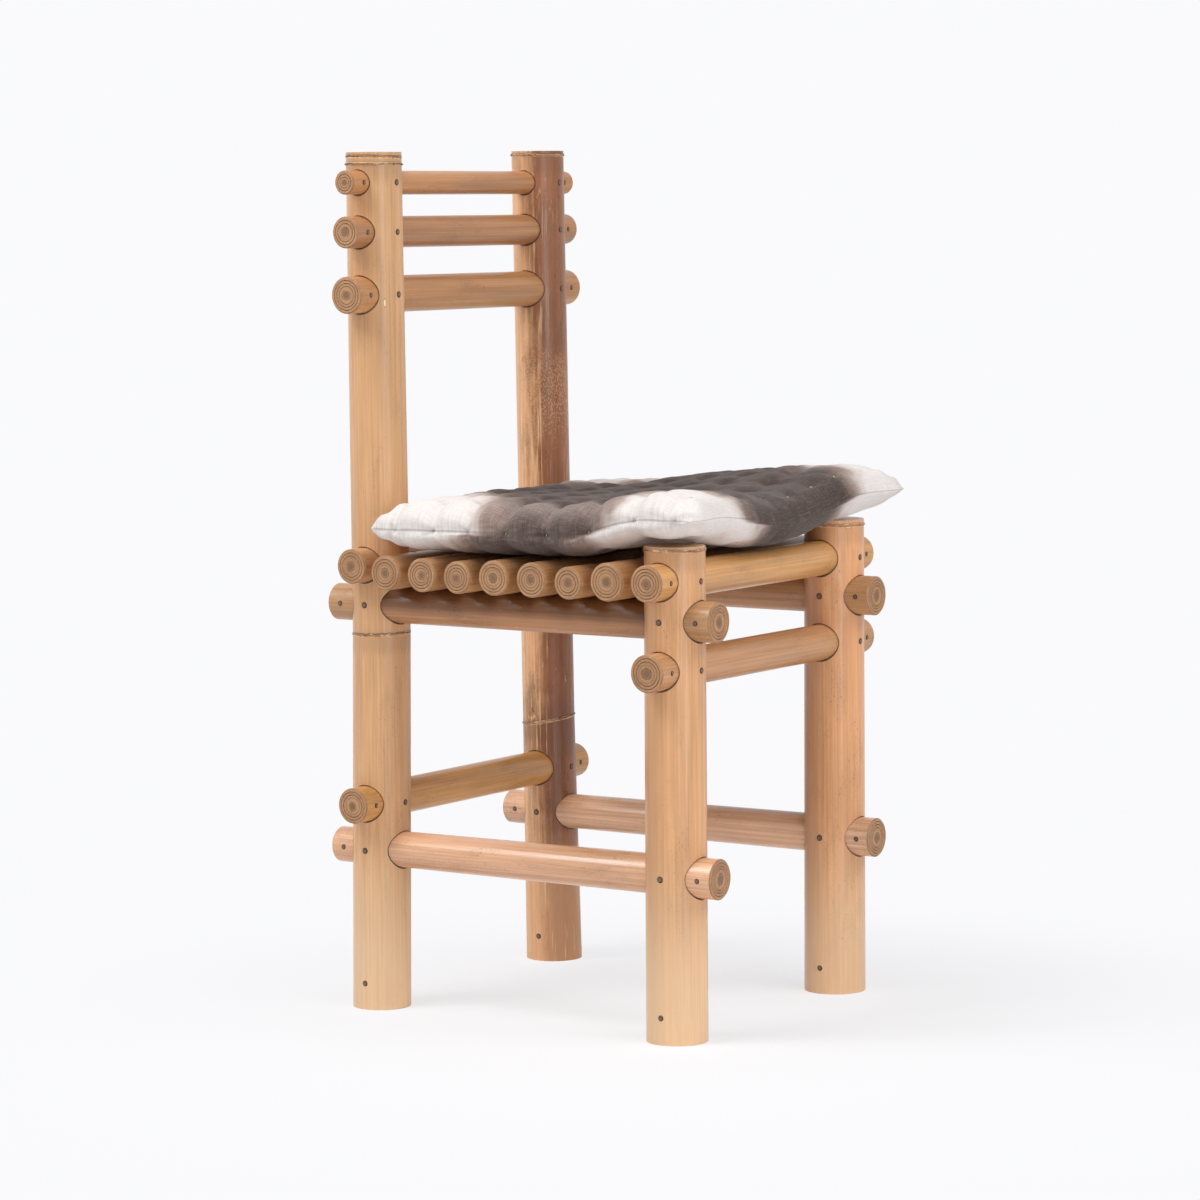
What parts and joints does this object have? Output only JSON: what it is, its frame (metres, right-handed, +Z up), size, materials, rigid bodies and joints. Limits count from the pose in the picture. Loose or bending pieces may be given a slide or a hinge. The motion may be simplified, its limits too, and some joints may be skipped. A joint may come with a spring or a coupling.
{
  "type": "bamboo chair",
  "caption": "Side chair of thick bamboo posts and pegged through-rails, with a slatted seat and a loose quilted cushion that lifts off.",
  "frame": {"origin": "on the floor, at the bottom centre of the chair's box, midway between the four posts", "axes": "+Z up, the sitter faces -Y, the sitter's right hand is towards -X"},
  "size_m": [0.401, 0.4408, 0.844],
  "materials": {
    "post_bamboo": "honey-tan bamboo culm with fine lengthwise fibres, satin",
    "rail_bamboo": "tan bamboo pole with lengthwise streaks, satin",
    "inner_bamboo": "sawn bamboo end grain, matt",
    "peg_bamboo": "dark brown bamboo peg, matt",
    "plug_wood": "plain softwood, matt",
    "cushion_linen": "linen, dip-dyed from cream to dark taupe",
    "cushion_wadding": "loose cotton wadding"
  },
  "bodies": {
    "frame": {"back_post_right": "post_bamboo", "back_post_left": "post_bamboo", "front_post_right": "post_bamboo", "front_post_left": "post_bamboo", "back_rail_top": "rail_bamboo", "back_rail_middle": "rail_bamboo", "back_rail_bottom": "rail_bamboo", "seat_rail_back": "rail_bamboo", "seat_rail_front": "rail_bamboo", "front_lower_rail": "rail_bamboo", "back_stretcher": "rail_bamboo", "side_seat_rail_right": "rail_bamboo", "side_seat_rail_left": "rail_bamboo", "side_stretcher_right": "rail_bamboo", "side_stretcher_left": "rail_bamboo", "seat_slat_1": "rail_bamboo", "seat_slat_2": "rail_bamboo", "seat_slat_3": "rail_bamboo", "seat_slat_4": "rail_bamboo", "seat_slat_5": "rail_bamboo", "seat_slat_6": "rail_bamboo", "seat_slat_7": "rail_bamboo", "back_rail_liners": "inner_bamboo", "cross_rail_liners": "inner_bamboo", "side_rail_liners": "inner_bamboo", "seat_slat_liners": "inner_bamboo", "side_rail_inner_liners": "inner_bamboo", "back_rail_top_core": "inner_bamboo", "back_rail_middle_core": "inner_bamboo", "back_rail_bottom_core": "inner_bamboo", "seat_rail_back_core": "inner_bamboo", "seat_rail_front_core": "inner_bamboo", "front_lower_rail_core": "inner_bamboo", "back_stretcher_core": "inner_bamboo", "side_seat_rail_right_core": "inner_bamboo", "side_seat_rail_left_core": "inner_bamboo", "side_stretcher_right_core": "inner_bamboo", "side_stretcher_left_core": "inner_bamboo", "seat_slat_1_core": "inner_bamboo", "seat_slat_2_core": "inner_bamboo", "seat_slat_3_core": "inner_bamboo", "seat_slat_4_core": "inner_bamboo", "seat_slat_5_core": "inner_bamboo", "seat_slat_6_core": "inner_bamboo", "seat_slat_7_core": "inner_bamboo", "post_pegs": "peg_bamboo", "end_pegs": "peg_bamboo", "foot_pegs": "peg_bamboo", "slat_pegs": "peg_bamboo", "foot_plugs": "plug_wood"},
    "cushion": {"cushion_cover": "cushion_linen", "cushion_filling": "cushion_wadding"}
  },
  "joints": [
    {"name": "cushion_lift", "type": "slide", "parent": "frame", "child": "cushion", "axis": [0, 0, 1], "range_m": [0, 0.42]}
  ]
}
